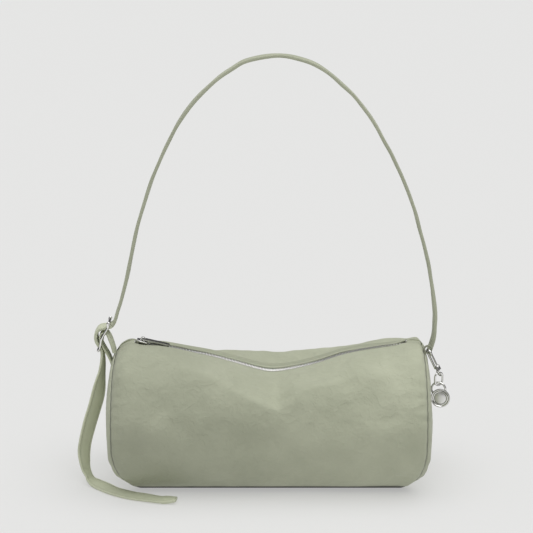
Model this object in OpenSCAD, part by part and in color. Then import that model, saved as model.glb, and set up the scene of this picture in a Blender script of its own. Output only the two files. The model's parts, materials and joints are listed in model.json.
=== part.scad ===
// Small barrel shoulder bag of crinkled nylon: a wrapped body, two round ends, a zipped top,
// one thin shoulder strap with a buckle at the left end and a charm on a clasp at the right end.
// Origin: middle of the flat bottom. +X right, +Y towards the back, +Z up. Millimetres.

/* [Bag] */
// Half of the length between the two end seams
seam_half = 140.5; // [110:0.5:180]
// Height at the end seams
bag_h = 130; // [100:1:170]
// Depth from front to back
bag_d = 142; // [110:1:190]
// How far the soft bottom is pressed flat by the weight of the bag
bottom_flat = 8; // [3:0.5:14]
// How far each end seam curls in where it meets the floor
seam_curl = 20.5; // [5:0.5:30]
// Height of that curl
curl_h = 42; // [25:1:60]
// How far each round end stands out past its seam
end_bulge = 6.5; // [4:0.5:12]
// Thickness of the shell with its lining
shell_t = 1.2; // [0.8:0.1:2]
// Sag of the zip line at the middle
zip_sag = 20; // [8:1:26]
// Rise of the zip's two ends above the rest of the top
zip_rise = 2; // [1:0.5:4]
// Dip of the top corners at the end seams
corner_dip = 4; // [1:0.5:8]
// Distance of the zip's ends from the end seams
crest_in = 14.5; // [12:0.5:20]
// Angle from the top at which the slack front folds, at the middle
fold_mid = 68; // [50:1:76]

/* [Zip] */
// Width of the slot between the two panel edges
slot_w = 13; // [11:0.5:18]
// Width of one zip tape
tape_w = 8.5; // [7:0.5:12]
// Thickness of a zip tape
tape_t = 0.8; // [0.5:0.1:1.2]
// Distance from tooth to tooth in one row
tooth_pitch = 2.6; // [2:0.1:4]
// Height of a tooth through the tape
tooth_h = 2.6; // [2:0.1:3.2]
// Length of the slider body
slider_l = 10; // [9:0.5:15]
// Width of the slider body
slider_w = 9; // [8:0.5:10]
// Length of the pull tab past its crossbar
pull_l = 25; // [14:1:30]
// Width of the pull tab
pull_w = 6; // [5:0.5:9]
// Distance of the closed slider from the left end seam
slider_in = 25; // [22:0.5:50]

/* [Strap] */
// Width of the strap
strap_w = 16; // [12:1:24]
// Thickness of the folded strap
strap_t = 3; // [1.6:0.1:3.2]
// Height of the top of the strap above the floor
strap_top = 391; // [330:1:480]
// Height above the bag at which the strap bends over as it swings
bend_up = 26; // [24:0.5:40]
// How far the sides of the strap stand past the end seams
strap_out = 10; // [9:0.5:14]
// Depth below the top of the bag at which the free tail bends
tail_down = 18; // [16:0.5:30]
// Length of the tail's run to the right along the floor
tail_run = 68; // [50:1:74]

/* [Buckle] */
// Clear width inside the buckle's rails
buckle_in = 17; // [13:0.5:26]
// Width of a rail, seen from the front
rail_w = 2.4; // [1.6:0.1:3.2]
// Diameter of the three crossbars
bar_d = 2.4; // [2:0.1:3.4]
// Height of the buckle from its top bar to its bottom bar
buckle_h = 25; // [23:0.5:32]
// Distance of the buckle's middle bar past the end seam
bar_out = 10.5; // [10:0.5:13]
// Height of the middle bar above the top of the bag
bar_up = 5.5; // [4.5:0.5:7]
// Thickness of the anchor loop's band
loop_t = 1.3; // [0.8:0.1:1.6]

/* [Charm] */
// Wire diameter of the oval link and the ring
wire_d = 1.8; // [1.2:0.1:2.2]
// Outer diameter of the round ring
ring_d = 14.5; // [12:0.5:18]
// Outer width of the oval link
link_w = 10.2; // [9:0.1:14]
// Outer length of the oval link
link_l = 13.5; // [12:0.1:18]
// Diameter of the disc
disc_d = 17.3; // [14:0.1:20]
// Thickness of the disc
disc_t = 1.8; // [1.2:0.1:3]
// Length of the clasp from the top of its hook to its foot
clasp_l = 24; // [20:0.5:28]
// Outer width of the clasp's hook
clasp_w = 8.4; // [7:0.1:12]

/* [Hidden] */

// Clearance between pieces that move past each other
gap = 0.3;
// Overrun of every cut
over = 1;

// Cross-section of the bag at its end seams: an ellipse whose lowest part is pressed flat
half_d = bag_d / 2;
mid_z = (bag_h - bottom_flat) / 2;
semi_h = (bag_h + bottom_flat) / 2;

// Places of the slider, of the strap's two sides and of its bends
slider_x = seam_half - slider_in;
strap_half = seam_half + strap_out;
strap_bend = bag_h + bend_up;
tail_bend = bag_h - tail_down;

// The zip line is one true arc in the plane Y = 0, so the slider can follow it about a far pivot.
// Past the ends of the zip the top line dips to the end seams.
crest_x = seam_half - crest_in;
zip_h = zip_sag + zip_rise;
zip_r = (crest_x * crest_x + zip_h * zip_h) / (2 * zip_h);
zip_pivot = bag_h - zip_sag + zip_r;
function arc_angle(x) = asin(x / zip_r);
function arc_drop(x) = zip_sag - zip_r + sqrt(zip_r * zip_r - x * x);
function corner_share(x) = (abs(x) - crest_x) / crest_in;
function line_drop(x) = abs(x) <= crest_x ? arc_drop(x)
    : -zip_rise + (zip_rise + corner_dip) * pow(corner_share(x), 3 / 2);

// Sizes along the depth of the zip, measured outwards from the arc of the panel's outer face
tape_under = 1;
tape_top = shell_t + tape_under;
tape_mid = tape_top + tape_t / 2;
tape_in = 1.5;
tape_end = crest_x - 3;
slider_gap = 0.4;
plate_t = 1.2;
post_w = 2;
crown_w = 1.8;
pull_bar_d = 1.4;

// Body shell: shares of the way round from the front edge of the slot to its back edge
around = 46;
along = 36;
front_fade = 82;
back_fade = 64;
fold_end = 30;
slot_angle = asin(slot_w / 2 / half_d);
flat_angle = asin((slot_w / 2 + tape_w * 2 / 3) / half_d);
function ease(s) = s <= 0 ? 0 : s >= 1 ? 1 : s * s * (3 - 2 * s);
function fade(a, far) = 1 - ease((abs(a) - flat_angle) / (far - flat_angle));
function ring_y(a, in) = (half_d - in) * sin(a);
function ring_z(a, in) = max(in, mid_z + (semi_h - in) * cos(a));
function seam_x(z) = seam_half - seam_curl * pow(max(0, 1 - z / curl_h), 5 / 2);

// The slack front lies in a straight slope from the zip down to a soft fold, whose angle is
// largest at the middle, and the slope passes into the round section towards the ends
function fold_angle(x) = fold_mid - (fold_mid - fold_end) * min(1, abs(x) * 4 / 3 / seam_half);
function fold_share(x) = exp(-pow(2 * x / seam_half, 4));
function slope_z(x, a, in) =
    let (far = fold_angle(x), s = (sin(-a) - sin(flat_angle)) / (sin(far) - sin(flat_angle)),
        top_z = ring_z(flat_angle, in) - line_drop(x))
    -a < flat_angle ? ring_z(a, in) - line_drop(x) : -a > far ? ring_z(a, in)
        : top_z + (ring_z(far, in) - top_z) * s;

// One point of the shell: u runs from -1 at the left seam to 1 at the right seam, a is the
// angle from the top, positive at the back, and in is the depth below the outer face
function shell_point(u, a, in) =
    let (z0 = ring_z(a, in), x = u * seam_half,
        round_z = z0 - line_drop(x) * fade(a, a < 0 ? front_fade : back_fade),
        z = a < 0 ? round_z + (slope_z(x, a, in) - round_z) * fold_share(x) : round_z)
    [u * seam_x(z0), ring_y(a, in), max(in, z)];
function shell_angle(j) = j == 0 ? -slot_angle : j == around ? slot_angle - 360
    : -flat_angle - (360 - 2 * flat_angle) * (j - 1) / (around - 2);
function wrap_angle(a) = a < -180 ? a + 360 : a;

// Faces of a closed tube of rows by cols points, whose two ends are closed by fans
function tube_faces(rows, cols) = concat(
    [for (i = [0:rows - 2], j = [0:cols - 1])
        [i * cols + j, (i + 1) * cols + j, i * cols + (j + 1) % cols]],
    [for (i = [0:rows - 2], j = [0:cols - 1])
        [i * cols + (j + 1) % cols, (i + 1) * cols + j, (i + 1) * cols + (j + 1) % cols]],
    [for (j = [1:cols - 2]) [0, j, j + 1]],
    [for (j = [1:cols - 2]) [(rows - 1) * cols, (rows - 1) * cols + j + 1, (rows - 1) * cols + j]]);

// A swept ring whose rows close on themselves
function loop_faces(rows, cols) = [for (i = [0:rows - 1], j = [0:cols - 1], k = [0, 1])
    let (a = i * cols + j, b = i * cols + (j + 1) % cols,
        c = ((i + 1) % rows) * cols + j, d = ((i + 1) % rows) * cols + (j + 1) % cols)
    k == 0 ? [a, b, c] : [b, d, c]];

module body_panel() {
    n = around + 1;
    outer = [for (i = [0:along], j = [0:around])
        shell_point(2 * i / along - 1, wrap_angle(shell_angle(j)), 0)];
    inner = [for (i = [0:along], j = [0:around])
        shell_point(2 * i / along - 1, wrap_angle(shell_angle(j)), shell_t)];
    m = len(outer);
    skin = [for (i = [0:along - 1], j = [0:around - 1], k = [0, 1])
        let (a = i * n + j, b = a + 1, c = a + n, d = c + 1)
        k == 0 ? [a, b, c] : [b, d, c]];
    edges = concat(
        [for (i = [0:along - 1], k = [0, 1]) let (a = i * n, c = a + n)
            k == 0 ? [a, c, m + a] : [c, m + c, m + a]],
        [for (i = [0:along - 1], k = [0, 1]) let (a = i * n + around, c = a + n)
            k == 0 ? [a, m + a, c] : [c, m + a, m + c]],
        [for (j = [0:around - 1], k = [0, 1]) let (a = j, b = j + 1)
            k == 0 ? [a, m + a, b] : [b, m + a, m + b]],
        [for (j = [0:around - 1], k = [0, 1]) let (a = along * n + j, b = a + 1)
            k == 0 ? [a, b, m + a] : [b, m + b, m + a]]);
    all_faces = concat(skin, [for (f = skin) [m + f[0], m + f[2], m + f[1]]], edges);
    color("#a9b096")
        polyhedron(concat(outer, inner), [for (f = all_faces) [f[0], f[2], f[1]]]);
}

// A round end: rings of points from the seam to the middle, outside and inside
end_rings = 7;
end_power = 3;
module end_panel(side) {
    n = around + 1;
    function end_point(r, j, in) =
        let (a = wrap_angle(shell_angle(j)), rim = shell_point(1, a, in),
            z = mid_z + (rim[2] - mid_z) * r)
        [side * (seam_x(z) + (end_bulge - in) * (1 - pow(r, end_power))), rim[1] * r, z];
    outer = [for (k = [0:end_rings - 1], j = [0:around]) end_point(1 - k / end_rings, j, 0)];
    inner = [for (k = [0:end_rings - 1], j = [0:around]) end_point(1 - k / end_rings, j, shell_t)];
    m = len(outer);
    hub = [[side * (seam_half + end_bulge), 0, mid_z],
        [side * (seam_half + end_bulge - shell_t), 0, mid_z]];
    skin = concat(
        [for (k = [0:end_rings - 2], j = [0:around], h = [0, 1])
            let (a = k * n + j, b = k * n + (j + 1) % n, c = a + n, d = b + n)
            h == 0 ? [a, c, b] : [b, c, d]],
        [for (j = [0:around]) [(end_rings - 1) * n + j, 2 * m, (end_rings - 1) * n + (j + 1) % n]]);
    back = [for (f = skin) [for (v = [f[0], f[2], f[1]]) v == 2 * m ? 2 * m + 1 : v + m]];
    rim = [for (j = [0:around], h = [0, 1]) let (b = (j + 1) % n)
        h == 0 ? [j, b, m + j] : [b, m + b, m + j]];
    all_faces = concat(skin, back, rim);
    color("#a3aa90")
        polyhedron(concat(outer, inner, hub),
            side > 0 ? all_faces : [for (f = all_faces) [f[0], f[2], f[1]]]);
}
module end_panel_left() { end_panel(-1); }
module end_panel_right() { end_panel(1); }

// The folded tape that covers the raw edges of an end seam, inside the bag
binding_w = 7;
binding_t = 1.8;
module seam_binding(side) {
    n = around + 1;
    // Corners of the band: distance in from the shell's inner face and distance from the seam
    low = [3 * gap, gap];
    high = low + [binding_w, binding_t];
    corners = [low, [high[0], low[1]], high, [low[0], high[1]]];
    pts = [for (j = [0:around], c = corners)
        let (p = shell_point(1 - c[1] / seam_half, wrap_angle(shell_angle(j)), shell_t + c[0]))
        [side * p[0], p[1], p[2]]];
    color("#8f967d")
        polyhedron(pts, side > 0 ? loop_faces(n, 4) : [for (f = loop_faces(n, 4)) [f[0], f[2], f[1]]]);
}
module seam_binding_left() { seam_binding(-1); }
module seam_binding_right() { seam_binding(1); }

// A bar that follows the zip arc: from x0 to x1, between two depths, from y0 to y1
module arc_bar(x0, x1, depth0, depth1, y0, y1) {
    translate([0, 0, zip_pivot])
        rotate([90, 0, 0])
            rotate([0, 0, arc_angle(x0) - 90])
                rotate_extrude(angle = arc_angle(x1) - arc_angle(x0), $fn = 720)
                    translate([zip_r + depth0, -y1])
                        square([depth1 - depth0, y1 - y0]);
}
// Carries a piece made around the origin to the place on the arc that lies at x
module on_arc(x) {
    translate([0, 0, zip_pivot])
        rotate([0, -arc_angle(x), 0])
            translate([0, 0, -zip_r])
                children();
}

module zip_tape_front() {
    color("#8d957c")
        arc_bar(-tape_end, tape_end, tape_top, tape_top + tape_t, -tape_in - tape_w, -tape_in);
}
module zip_tape_back() {
    color("#8d957c")
        arc_bar(-tape_end, tape_end, tape_top, tape_top + tape_t, tape_in, tape_in + tape_w);
}

// Chain: teeth of the two rows stand half a pitch apart and reach past the middle
teeth_x0 = -slider_x;
teeth_x1 = slider_x + slider_l * 3 / 4;
tooth_l = tooth_pitch * 4 / 9;
tooth_reach = 1.2;
teeth_n = floor((teeth_x1 - teeth_x0) / tooth_pitch);
module zip_teeth(side) {
    for (i = [0:teeth_n - 1])
        on_arc(teeth_x0 + tooth_pitch * (i + (side > 0 ? 3 / 4 : 1 / 4)))
            translate([-tooth_l / 2, side > 0 ? -tooth_reach : -tape_in, -tape_mid - tooth_h / 2])
                cube([tooth_l, tape_in + tooth_reach, tooth_h]);
}
module zip_teeth_front() { color("silver") zip_teeth(-1); }
module zip_teeth_back() { color("silver") zip_teeth(1); }

stop_l = 1.4;
module zip_top_stops() {
    color("silver")
        for (side = [-1, 1])
            on_arc(-slider_x - slider_l / 2 - stop_l)
                translate([-stop_l / 2, side > 0 ? gap : -tape_in, -tape_mid - tooth_h / 2])
                    cube([stop_l, tape_in - gap, tooth_h]);
}
module zip_bottom_stop() {
    color("silver")
        on_arc(teeth_x1 + stop_l)
            translate([-stop_l / 2, -tape_in, -tape_mid - tooth_h / 2])
                cube([stop_l, 2 * tape_in, tooth_h]);
}

// The sewn fabric tabs that close the slot past each end of the chain
tab_w = slot_w - 4 * gap;
tab_steps = 8;
tab_end = seam_half - 3;
module zip_tab(x0, x1) {
    tab_t = tape_top - 4 / 3 * gap;
    color("#a9b096")
        flat_band([for (i = [0:tab_steps]) let (x = x0 + (x1 - x0) * i / tab_steps)
            [x, bag_h - line_drop(x) - gap - tab_t / 2]], tab_t, tab_w);
}
module zip_tab_left() { zip_tab(-tab_end, -slider_x - slider_l / 2 - 3 * stop_l); }
module zip_tab_right() { zip_tab(teeth_x1 + 3 * stop_l, tab_end); }

// Slider, made around its own centre: two plates held by a post, a crown for the pull on top
plate_top = -(tape_mid - tooth_h / 2 - slider_gap);
plate_low = -(tape_mid + tooth_h / 2 + slider_gap);
crown_in = pull_bar_d / 2 + gap;
crown_rise = crown_in + pull_bar_d / 4;
module slider_plate(z0) {
    translate([0, 0, z0])
        linear_extrude(plate_t)
            polygon([[-slider_l / 2, -slider_w / 3], [-slider_l / 6, -slider_w / 2],
                [slider_l / 2, -slider_w * 2 / 5], [slider_l / 2, slider_w * 2 / 5],
                [-slider_l / 6, slider_w / 2], [-slider_l / 2, slider_w / 3]]);
}
module slider_body() {
    color("silver")
        on_arc(-slider_x) {
            slider_plate(plate_top);
            slider_plate(plate_low - plate_t);
            translate([-slider_l / 2, -post_w / 2, plate_low - plate_t])
                cube([slider_l / 4, post_w, plate_top - plate_low + 2 * plate_t]);
            translate([0, crown_w / 2, plate_top + plate_t + crown_rise])
                rotate([90, 0, 0])
                    difference() {
                        union() {
                            cylinder(h = crown_w, r = crown_in + plate_t, $fn = 48);
                            translate([-crown_in - plate_t, -crown_rise, 0])
                                cube([2 * (crown_in + plate_t), crown_rise, crown_w]);
                        }
                        translate([0, 0, -over])
                            cylinder(h = crown_w + 2 * over, r = crown_in, $fn = 48);
                    }
        }
}
// Pull: a crossbar through the crown, two arms beside it and a flat tab
pull_t = 1.2;
pull_window = crown_in + plate_t + 2 * gap;
pull_dip = 5;
module pull_tab() {
    color("silver")
        on_arc(-slider_x)
            translate([0, 0, plate_top + plate_t + crown_rise])
                rotate([0, -pull_dip, 0]) {
                    translate([0, pull_w / 2, 0])
                        rotate([90, 0, 0])
                            cylinder(h = pull_w, d = pull_bar_d, $fn = 32);
                    for (side = [-1, 1])
                        translate([0, side * (pull_w / 2 - pull_t / 2) - pull_t / 2, -pull_t / 2])
                            cube([pull_window + pull_t, pull_t, pull_t]);
                    translate([pull_window, 0, -pull_t / 2])
                        linear_extrude(pull_t)
                            difference() {
                                union() {
                                    translate([0, -pull_w / 2])
                                        square([pull_l - pull_window - pull_w / 2, pull_w]);
                                    translate([pull_l - pull_window - pull_w / 2, 0])
                                        circle(d = pull_w, $fn = 48);
                                }
                                translate([pull_l - pull_window - pull_w * 2 / 3, 0])
                                    circle(d = pull_w / 3, $fn = 32);
                            }
                }
}

// A smooth line through chosen points, with steps between each pair
function catmull(a, b, c, d, t) = (2 * b + (c - a) * t + (2 * a - 5 * b + 4 * c - d) * t * t
    + (3 * b - a - 3 * c + d) * t * t * t) / 2;
function smooth_line(p, steps) = [for (i = [0:len(p) - 2], s = [0:steps - 1])
    catmull(p[max(0, i - 1)], p[i], p[i + 1], p[min(len(p) - 1, i + 2)], s / steps),
    p[len(p) - 1]];
function unit(v) = v / norm(v);
function along_line(p, i) = unit(p[min(len(p) - 1, i + 1)] - p[max(0, i - 1)]);
function side_line(p, off) = [for (i = [0:len(p) - 1])
    let (t = along_line(p, i)) p[i] + off * [-t[1], t[0]]];
// A flat strap lying on edge along a line in the XZ plane, y wide
module flat_band(line, thick, wide) {
    left = side_line(line, thick / 2);
    right = side_line(line, -thick / 2);
    translate([0, wide / 2, 0])
        rotate([90, 0, 0])
            linear_extrude(wide)
                polygon(concat(left, [for (i = [len(right) - 1:-1:0]) right[i]]));
}

// Shoulder strap: shares of the half spread and of the rise above the bend
strap_rise = strap_top - strap_bend;
arch_shares = [[-0.940, -0.0429], [-0.912, 0.007], [-0.890, 0.047], [-0.857, 0.127], [-0.805, 0.286],
    [-0.735, 0.443], [-0.645, 0.599], [-0.521, 0.753], [-0.405, 0.852], [-0.287, 0.924],
    [-0.170, 0.973], [-0.053, 0.993], [0.060, 0.997], [0.180, 0.986], [0.297, 0.954],
    [0.415, 0.898], [0.534, 0.822], [0.653, 0.721], [0.775, 0.560], [0.847, 0.443],
    [0.901, 0.326], [0.950, 0.207], [0.973, 0.127], [0.993, 0.047], [1.000, 0], [1.004, -0.0429]];
function arch_line() = smooth_line([for (s = arch_shares)
    [s[0] * strap_half, strap_bend + s[1] * strap_rise]], 3);
module shoulder_strap() {
    color("#a3aa90")
        difference() {
            flat_band(arch_line(), strap_t, strap_w);
            difference() {
                translate([-2 * strap_half, -strap_w, strap_bend - strap_w])
                    cube([4 * strap_half, 2 * strap_w, strap_w]);
                translate([-2 * strap_half - over, 0, strap_bend])
                    rotate([0, 90, 0])
                        cylinder(h = 4 * strap_half + 2 * over, d = strap_w, $fn = 64);
            }
        }
}

// The sewn right end of the strap, against the round end
base_x = seam_half + end_bulge - strap_t / 2 + gap;
base_line = smooth_line([[strap_half + gap, strap_bend - strap_w / 2 - gap],
    [strap_half + gap, strap_bend - strap_w],
    [base_x + strap_t, bag_h], [base_x, bag_h - strap_w / 2], [base_x, bag_h - strap_w]], 4);
module strap_base() {
    color("#a3aa90")
        flat_band(base_line, strap_t, strap_w);
}

// Buckle, seen from the front: three bars on two bent rails, measured from the middle bar
bar_mid = [-seam_half - bar_out, bag_h + bar_up];
rail_shares = [[0.224, 0.520], [0.204, 0.400], [0.110, 0.230], [0, 0], [-0.060, -0.200],
    [-0.110, -0.350], [-0.188, -0.480]];
rail_points = [for (s = rail_shares) bar_mid + s * buckle_h];
bar_top = rail_points[0];
bar_low = rail_points[len(rail_points) - 1];
rail_line = smooth_line(rail_points, 4);
rail_t = bar_d + gap;
module crossbar(place) {
    translate([place[0], buckle_in / 2 + gap, place[1]])
        rotate([90, 0, 0])
            cylinder(h = buckle_in + 2 * gap, d = bar_d, $fn = 48);
}
module tri_glide() {
    color("silver") {
        for (side = [-1, 1])
            translate([0, side * (buckle_in + rail_w) / 2, 0])
                union() {
                    flat_band(rail_line, rail_t, rail_w);
                    for (place = [bar_top, bar_low])
                        translate([place[0], rail_w / 2, place[1]])
                            rotate([90, 0, 0])
                                cylinder(h = rail_w, d = rail_t, $fn = 48);
                }
        crossbar(bar_top);
        crossbar(bar_mid);
        crossbar(bar_low);
    }
}

// Anchor loop: a band round the middle bar that narrows to a double tab sewn to the round end
loop_in = bar_d / 2 + gap / 2;
foot_in = 0.6;
foot_down = 8;
loop_foot = [-seam_half - end_bulge + foot_in, bag_h - foot_down];
loop_drop = 16;
module anchor_loop() {
    color("#98a086")
        translate([0, strap_w / 2, 0])
            rotate([90, 0, 0])
                linear_extrude(strap_w) {
                    difference() {
                        hull() {
                            translate(bar_mid)
                                circle(r = loop_in + loop_t, $fn = 32);
                            translate(loop_foot)
                                circle(r = loop_t, $fn = 32);
                        }
                        hull() {
                            translate(bar_mid)
                                circle(r = loop_in, $fn = 32);
                            translate(loop_foot + [0, loop_t * 2])
                                circle(r = gap, $fn = 32);
                        }
                    }
                    translate(loop_foot - [loop_t, loop_drop])
                        square([2 * loop_t, loop_drop]);
                }
}

// The strap's run through the buckle, from its front face round the outside of the loop
wrap_shares = [[0.380, 0.448], [0.280, 0.380], [0.096, 0.350], [-0.110, 0.310], [-0.235, 0.160],
    [-0.268, -0.020], [-0.240, -0.170], [-0.165, -0.305], [-0.060, -0.425], [-0.040, -0.520],
    [-0.040, -0.605]];
wrap_line = smooth_line([for (s = wrap_shares) bar_mid + s * buckle_h], 4);
module strap_wrap() {
    color("#a3aa90")
        flat_band(wrap_line, strap_t, strap_w);
}

// Tail: places down its middle, and how far the band has turned from edge-on to the front
tail_x = -seam_half - bar_out;
tail_t = 2;
tail_floor = tail_t / 2;
// Shares of the tail's run along the floor, sideways and forwards, and of the bend's height
tail_shares = [[0, 0, 1], [-0.007, -0.022, 0.946], [-0.024, -0.051, 0.906], [-0.043, -0.081, 0.866],
    [-0.063, -0.112, 0.786], [-0.093, -0.141, 0.701], [-0.135, -0.162, 0.61], [-0.178, -0.176, 0.527],
    [-0.218, -0.176, 0.441], [-0.25, -0.176, 0.358], [-0.274, -0.176, 0.272], [-0.275, -0.191, 0.188],
    [-0.253, -0.221, 0.107], [-0.194, -0.272, 0.05], [-0.122, -0.338, 0.02], [-0.047, -0.426, 0],
    [0.028, -0.507, 0], [0.1, -0.59, 0], [0.172, -0.654, 0], [0.243, -0.709, 0], [0.382, -0.797, 0],
    [0.519, -0.859, 0], [0.656, -0.921, 0], [0.791, -0.963, 0], [0.919, -0.978, 0], [1, -0.982, 0]];
tail_places = [for (s = tail_shares)
    [tail_x + s[0] * tail_run, s[1] * tail_run, max(s[2] * tail_bend, tail_floor)]];
tail_turns = [90, 82, 68, 59, 50, 45, 43, 43, 45, 48, 52, 62, 75,
    88, 82, 70, 60, 54, 50, 46, 40, 34, 30, 26, 24, 22];
tail_steps = 2;
tail_line = smooth_line(tail_places, tail_steps);
tail_turn = smooth_line(tail_turns, tail_steps);
tail_cap = 6;
tail_cap_turn = 84;
function square_to(v, t) = unit(v - (v * t) * t);
// Corners of the band at a place: the width lies along a level direction, square to the line
function band_corners(place, t, turn, half) =
    let (w = square_to([cos(turn), sin(turn), 0], t), n = cross(t, w))
    [for (c = [[-1, -1], [1, -1], [1, 1], [-1, 1]]) place + c[0] * half * w + c[1] * tail_t / 2 * n];
module strap_tail() {
    half = strap_w / 2;
    cap = [for (i = [0:tail_cap - 1]) let (a = tail_cap_turn * (1 - i / tail_cap))
        band_corners([tail_x, 0, tail_bend + half * sin(a)], [0, 0, -1], 90, half * cos(a))];
    run = [for (i = [0:len(tail_line) - 1])
        band_corners(tail_line[i], along_line(tail_line, i), tail_turn[i], half)];
    rings = concat(cap, run);
    color("#a3aa90")
        polyhedron([for (r = rings, p = r) [p[0], p[1], max(p[2], 0)]], tube_faces(len(rings), 4));
}

// Small fabric loop at the right top corner, which holds the clasp
charm_aside = 6;
charm_y = -strap_w / 2 - clasp_w / 2 - charm_aside;
loop_out = 2.8;
loop_under = 2.3;
loop_c = [seam_half + loop_out, bag_h - loop_under];
charm_loop_r = 2.6;
charm_loop_w = 3;
module charm_loop() {
    color("#8d957c")
        translate([loop_c[0], charm_y + charm_loop_w / 2, loop_c[1]])
            rotate([90, 0, 0])
                difference() {
                    cylinder(h = charm_loop_w, r = charm_loop_r + loop_t, $fn = 48);
                    translate([0, 0, -over])
                        cylinder(h = charm_loop_w + 2 * over, r = charm_loop_r, $fn = 48);
                }
}

// Clasp, hanging in a plane that runs from front to back: its hook goes through the fabric loop
hook_d = 2;
clasp_lean = 26;
clasp_turn = 25;
hook_r = (clasp_w - hook_d) / 2;
// The hook crosses the loop's hole aslant, so its seat is counted where it leaves the hole
hook_run = charm_loop_w / 2 / cos(clasp_turn);
hook_aside = charm_loop_w / 2 * tan(clasp_turn);
hook_dip = hook_r - sqrt(max(0, hook_r * hook_r - hook_run * hook_run));
hook_seat = charm_loop_r - hook_d / 2 - 5 / 3 * gap;
clasp_top = [loop_c[0], charm_y,
    loop_c[1] - sqrt(max(0, hook_seat * hook_seat - hook_aside * hook_aside)) + hook_dip];
gate_d = 1.6;
tip_l = 1;
pin_d = 1;
gate_eye_r = 1.2;
cheek_t = 0.7;
cheek_x = gate_d / 2 + gap + cheek_t;
eye_in = wire_d / 2 + 4 * gap;
eye_d = 1.5;
foot_z = -clasp_l + eye_in + eye_d * 3 / 4 + hook_d / 2;
pin_z = foot_z + hook_d / 2 + gate_eye_r + gap;
module on_clasp() {
    translate(clasp_top)
        rotate([0, -clasp_lean, 0])
            rotate([0, 0, clasp_turn])
                children();
}
module across(x0, x1, d) {
    translate([x0, 0, 0])
        rotate([0, 90, 0])
            cylinder(h = x1 - x0, d = d, $fn = 32);
}
module clasp_body() {
    color("silver")
        on_clasp() {
            translate([0, 0, -hook_r])
                rotate([0, 90, 0])
                    rotate([0, 0, 90])
                        rotate_extrude(angle = 180, $fn = 64)
                            translate([hook_r, 0])
                                circle(d = hook_d, $fn = 24);
            translate([0, -hook_r, -hook_r - tip_l])
                cylinder(h = tip_l, d = hook_d, $fn = 32);
            translate([0, hook_r, foot_z])
                cylinder(h = -hook_r - foot_z, d = hook_d, $fn = 32);
            translate([0, 0, foot_z])
                rotate([90, 0, 0])
                    translate([0, 0, -hook_r])
                        cylinder(h = 2 * hook_r, d = hook_d, $fn = 32);
            translate([0, hook_r, foot_z])
                sphere(d = hook_d, $fn = 32);
            translate([-cheek_x, -hook_r - pin_d, foot_z - hook_d / 2])
                cube([2 * cheek_x, 2 * pin_d, hook_d]);
            for (side = [-1, 1])
                translate([side * (cheek_x - cheek_t / 2) - cheek_t / 2, -hook_r - pin_d, foot_z])
                    cube([cheek_t, 2 * pin_d, pin_z - foot_z + pin_d]);
            translate([0, -hook_r, pin_z])
                across(-cheek_x, cheek_x, pin_d);
            translate([0, 0, -clasp_l])
                rotate([0, 90, 0])
                    rotate_extrude($fn = 64)
                        translate([eye_in + eye_d / 2, 0])
                            circle(d = eye_d, $fn = 24);
        }
}
module clasp_gate() {
    color("silver")
        on_clasp()
            difference() {
                union() {
                    translate([0, -hook_r, pin_z])
                        cylinder(h = -hook_r - tip_l - gap - pin_z, d = gate_d, $fn = 32);
                    translate([0, -hook_r, pin_z])
                        across(-gate_d / 2, gate_d / 2, 2 * gate_eye_r);
                }
                translate([0, -hook_r, pin_z])
                    across(-gate_d, gate_d, pin_d + gap / 3);
            }
}

// Where the oval link hangs in the clasp's eye, and the ring and the disc under it
link_turn = 30;
ring_turn = -18;
link_top = [clasp_top[0] + clasp_l * sin(clasp_lean), charm_y, clasp_top[2] - clasp_l * cos(clasp_lean)];
link_mid = link_top - [0, 0, (link_l - wire_d) / 2];
link_low = link_top - [0, 0, link_l - wire_d];
ring_top = link_low + [0, 0, wire_d + 2 * gap];
ring_mid = ring_top - [0, 0, (ring_d - wire_d) / 2];
ring_low = ring_top - [0, 0, ring_d - wire_d];

// A closed oval of round wire in the XZ plane: two half rings and two straight sides
module oval_ring(w, l, d) {
    straight = l - w;
    for (end = [0, 1])
        translate([0, 0, end == 0 ? straight / 2 : -straight / 2])
            rotate([90, 0, 0])
                rotate([0, 0, end * 180])
                    rotate_extrude(angle = 180, $fn = 64)
                        translate([(w - d) / 2, 0])
                            circle(d = d, $fn = 24);
    if (straight > 0)
        for (side = [-1, 1])
            translate([side * (w - d) / 2, 0, -straight / 2])
                cylinder(h = straight, d = d, $fn = 24);
}

module oval_link() {
    color("silver")
        translate(link_mid)
            rotate([0, 0, link_turn])
                oval_ring(link_w, link_l, wire_d);
}
module round_ring() {
    color("silver")
        translate(ring_mid)
            rotate([0, 0, ring_turn])
                rotate([90, 0, 0])
                    rotate_extrude($fn = 96)
                        translate([(ring_d - wire_d) / 2, 0])
                            circle(d = wire_d, $fn = 24);
}

// Disc: a plain round face with a raised rim, and an eye on its back for the ring
disc_eye_d = 1.2;
disc_eye_in = wire_d / 2 + 3 * gap;
disc_back = disc_eye_in + disc_eye_d / 2;
disc_turn = -10;
disc_side = 2;
disc_under = 0.4;
rim_t = 0.5;
rim_w = 1.6;
module charm_disc() {
    color("silver")
        translate(ring_low - [0, 0, 2 * gap])
            rotate([0, 0, disc_turn]) {
                rotate([0, 90, 0])
                    rotate_extrude($fn = 48)
                        translate([disc_eye_in + disc_eye_d / 2, 0])
                            circle(d = disc_eye_d, $fn = 24);
                translate([disc_side, -disc_back, -disc_under])
                    rotate([90, 0, 0])
                        difference() {
                            cylinder(h = disc_t, d = disc_d, $fn = 96);
                            translate([0, 0, disc_t - rim_t])
                                cylinder(h = rim_t + over, d = disc_d - 2 * rim_w, $fn = 96);
                        }
            }
}

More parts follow.
